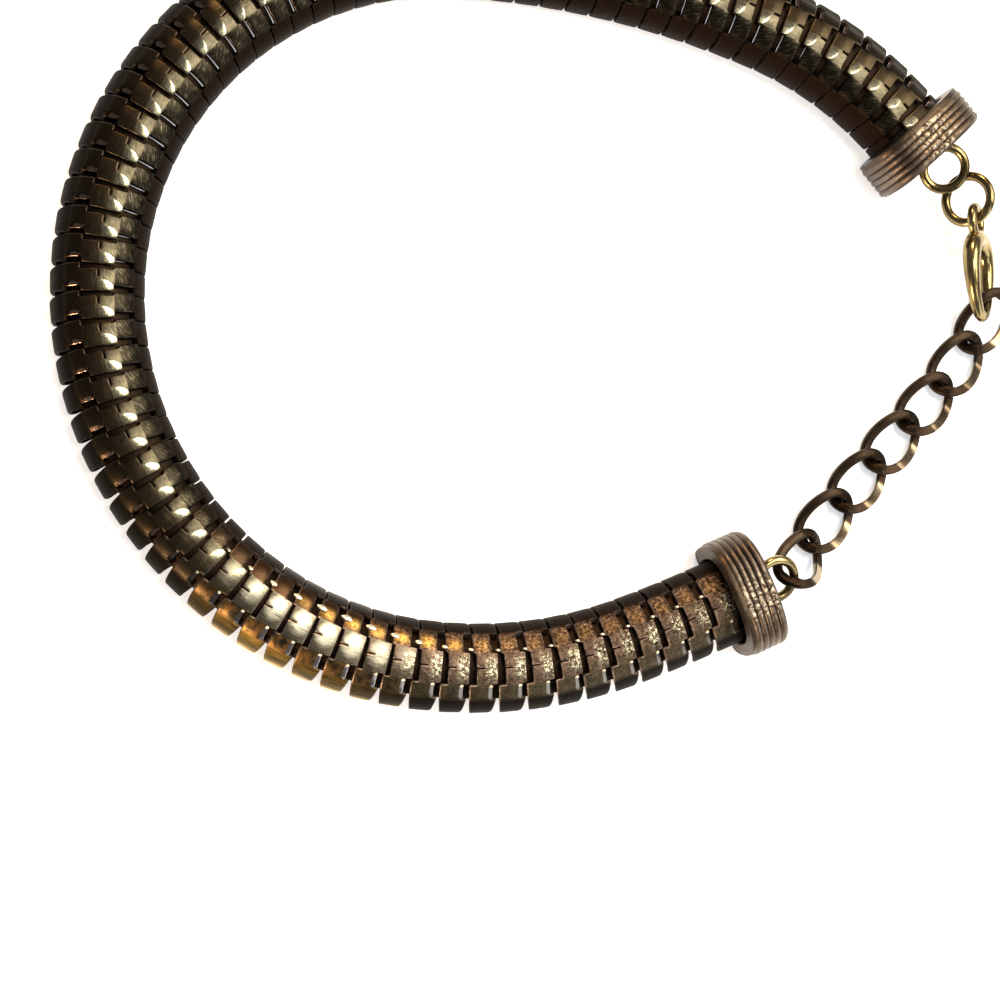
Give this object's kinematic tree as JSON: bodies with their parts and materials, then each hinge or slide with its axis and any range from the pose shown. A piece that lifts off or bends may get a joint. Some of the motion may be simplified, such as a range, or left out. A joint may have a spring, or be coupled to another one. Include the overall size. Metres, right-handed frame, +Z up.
{
  "type": "snake chain bracelet",
  "caption": "Wide flat-backed snake chain bracelet of interlocking stamped links, with ribbed end caps, a curb chain extender and a hook clasp, fastened in a loop.",
  "frame": {"origin": "on the surface that the bracelet lies on, in the middle of the loop's bounding box", "axes": "+Z up out of the flat back, +X along the loop's longest extent towards the extender, +Y across the loop"},
  "size_m": [0.0799, 0.0644, 0.006],
  "materials": {
    "chain_gold": "brushed antique gold plate, darkened between the plates",
    "cap_gold": "ribbed antique gold plate, darker and redder than the chain",
    "extender_gold": "polished antique gold plate with filed bright faces",
    "clasp_gold": "plain polished antique gold plate"
  },
  "bodies": {
    "root": {"snake_chain": "chain_gold", "extender_cap": "cap_gold", "clasp_cap": "cap_gold", "extender_link_1": "extender_gold", "extender_link_2": "extender_gold", "extender_link_3": "extender_gold", "extender_link_4": "extender_gold", "extender_link_5": "extender_gold", "extender_link_6": "extender_gold", "extender_link_7": "extender_gold", "jump_ring": "clasp_gold", "clasp": "clasp_gold"}
  },
  "joints": []
}
